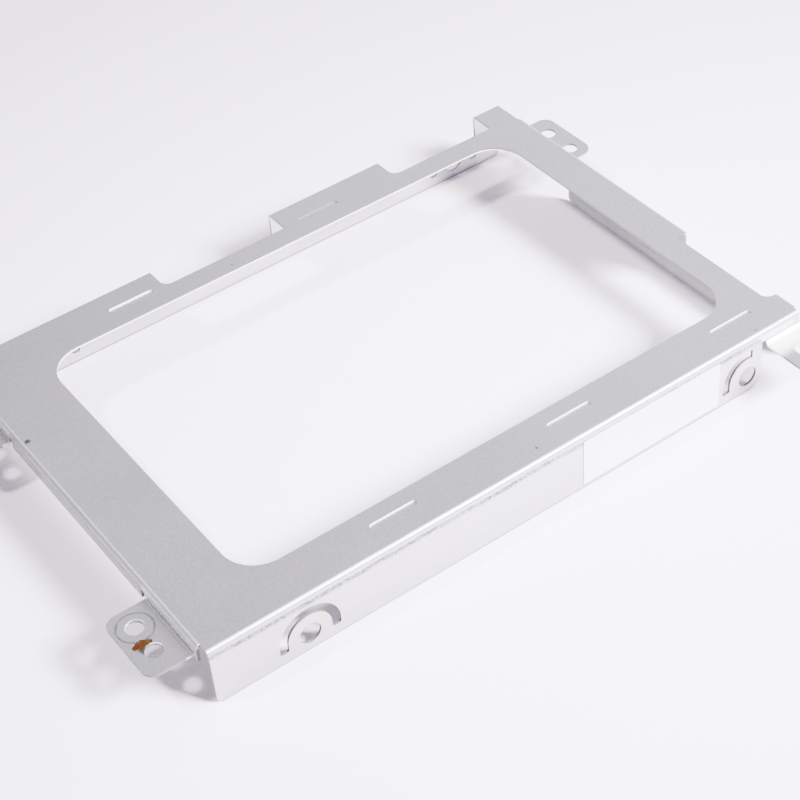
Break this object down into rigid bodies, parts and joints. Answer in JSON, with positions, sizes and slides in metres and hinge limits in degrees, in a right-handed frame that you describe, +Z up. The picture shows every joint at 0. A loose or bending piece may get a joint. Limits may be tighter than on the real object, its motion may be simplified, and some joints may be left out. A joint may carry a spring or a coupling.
{
  "type": "laptop hard drive caddy",
  "caption": "Open frame of folded sheet steel that carries a laptop hard drive: a flat rim round a large window, low walls with drive screw holes in spring ears, and stepped mounting tabs.",
  "frame": {"origin": "midway between the four drive screws, on the plane that the walls' lower edges rest on", "axes": "+X along the drive, away from its connector end; +Y across the drive towards the notched wall; +Z up, from the resting plane to the plate over the drive"},
  "size_m": [0.1143, 0.0792, 0.0099],
  "materials": {
    "galvanised_steel": "matt galvanised sheet steel",
    "label_paper": "matt white label"
  },
  "bodies": {
    "root": {"bracket": "galvanised_steel", "paper_label": "label_paper"}
  },
  "joints": []
}
